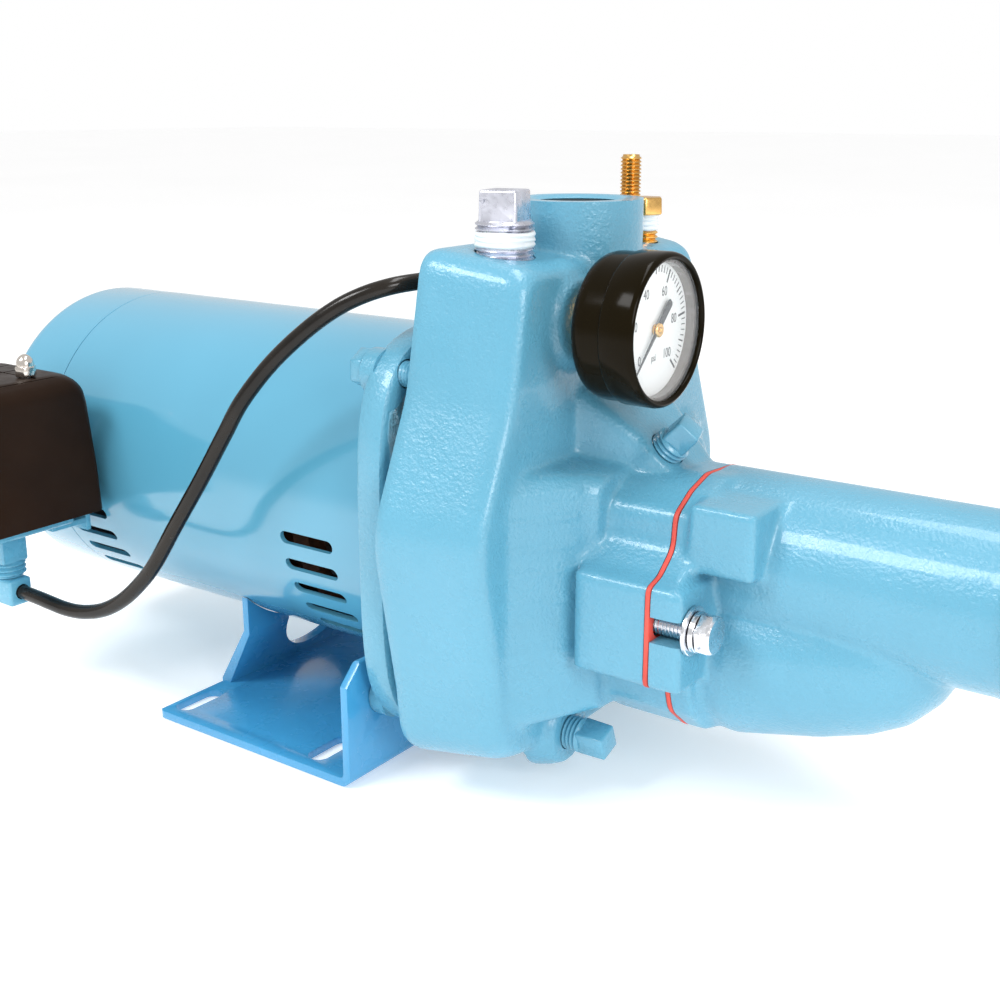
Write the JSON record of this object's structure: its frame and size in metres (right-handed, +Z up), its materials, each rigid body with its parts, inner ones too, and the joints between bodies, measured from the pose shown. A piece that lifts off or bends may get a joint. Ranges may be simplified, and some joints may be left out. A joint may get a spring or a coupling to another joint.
{
  "type": "shallow well jet pump",
  "caption": "Motor-driven jet pump on a slotted foot: cast casing with top discharge port, front ejector with suction port, pressure gauge, and side-mounted pressure switch with sensing tube.",
  "frame": {"origin": "centre of the foot's underside", "axes": "+Z up, +X along the shaft from the motor to the suction port, +Y away from the gauge and pressure switch"},
  "size_m": [0.4641, 0.2168, 0.228],
  "materials": {
    "blue_cast": "rough cast iron under light blue paint",
    "blue_sheet": "smooth sheet steel under light blue paint",
    "dark_steel": "dark laminated or pressed steel",
    "bright_steel": "machined steel",
    "zinc": "bright zinc plate",
    "brass": "machined brass",
    "copper": "varnished copper wire",
    "black_enamel": "glossy black enamel",
    "brown_plastic": "brown-black moulded cover",
    "black_tube": "flexible black tube",
    "red_rubber": "red sheet gasket",
    "white_enamel": "white printed dial",
    "clear_lens": "clear window",
    "black_plastic": "moulded plastic",
    "ceramic": "ceramic seal face"
  },
  "bodies": {
    "pump": {"brass_plug": "brass", "capacitor": "black_plastic", "casing_bolt_far_bottom": "blue_cast", "casing_bolt_far_top": "blue_cast", "casing_bolt_near_bottom": "blue_cast", "casing_bolt_near_top": "blue_cast", "contact_block": "black_plastic", "cover_nut": "zinc", "diaphragm_housing": "blue_sheet", "diffuser": "black_plastic", "drain_plug": "blue_cast", "ejector_body": "blue_cast", "ejector_bolt_far": "zinc", "ejector_bolt_near": "zinc", "ejector_gasket": "red_rubber", "flat_washer_far": "zinc", "flat_washer_near": "zinc", "foot": "blue_sheet", "front_bearing": "bright_steel", "gauge_bezel": "black_enamel", "gauge_case": "black_enamel", "gauge_dial": "white_enamel", "gauge_lens": "clear_lens", "gauge_stem": "brass", "lock_washer_far": "zinc", "lock_washer_near": "zinc", "motor_flange": "blue_cast", "motor_shell": "blue_sheet", "nozzle": "brass", "priming_plug": "zinc", "pump_casing": "blue_cast", "range_spring": "bright_steel", "range_stud": "zinc", "rear_bearing": "bright_steel", "rear_bracket": "dark_steel", "rear_cover": "blue_sheet", "regulator_stud": "brass", "seal_plate": "dark_steel", "seal_seat": "ceramic", "sensing_tube": "black_tube", "stator_core": "dark_steel", "switch_base": "bright_steel", "switch_bracket": "blue_sheet", "switch_cover": "brown_plastic", "switch_nipple": "blue_sheet", "tube_elbow": "blue_sheet", "tube_fitting": "blue_sheet", "upper_plug": "blue_cast", "venturi": "black_plastic", "winding_front": "copper", "winding_rear": "copper"},
    "rotor": {"shaft": "bright_steel", "rotor_core": "dark_steel", "cooling_fan": "black_plastic", "governor": "bright_steel", "seal_head": "black_plastic", "impeller": "black_plastic"},
    "pointer": {"gauge_pointer": "black_enamel"},
    "lever": {"switch_lever": "bright_steel"}
  },
  "joints": [
    {"name": "shaft_spin", "type": "hinge", "parent": "pump", "child": "rotor", "pos_m": [0, 0, 0.0945], "axis": [1, 0, 0], "continuous": true},
    {"name": "pointer_sweep", "type": "hinge", "parent": "pump", "child": "pointer", "pos_m": [0.14645, -0.0286, 0.175], "axis": [-1, 0, 0], "range_deg": [0, 270], "stiffness_Nm_per_rad": 0.001},
    {"name": "switch_lever_rock", "type": "hinge", "parent": "pump", "child": "lever", "pos_m": [-0.126, -0.099, 0.097], "axis": [0, -1, 0], "range_deg": [-3, 4], "stiffness_Nm_per_rad": 0.6}
  ]
}
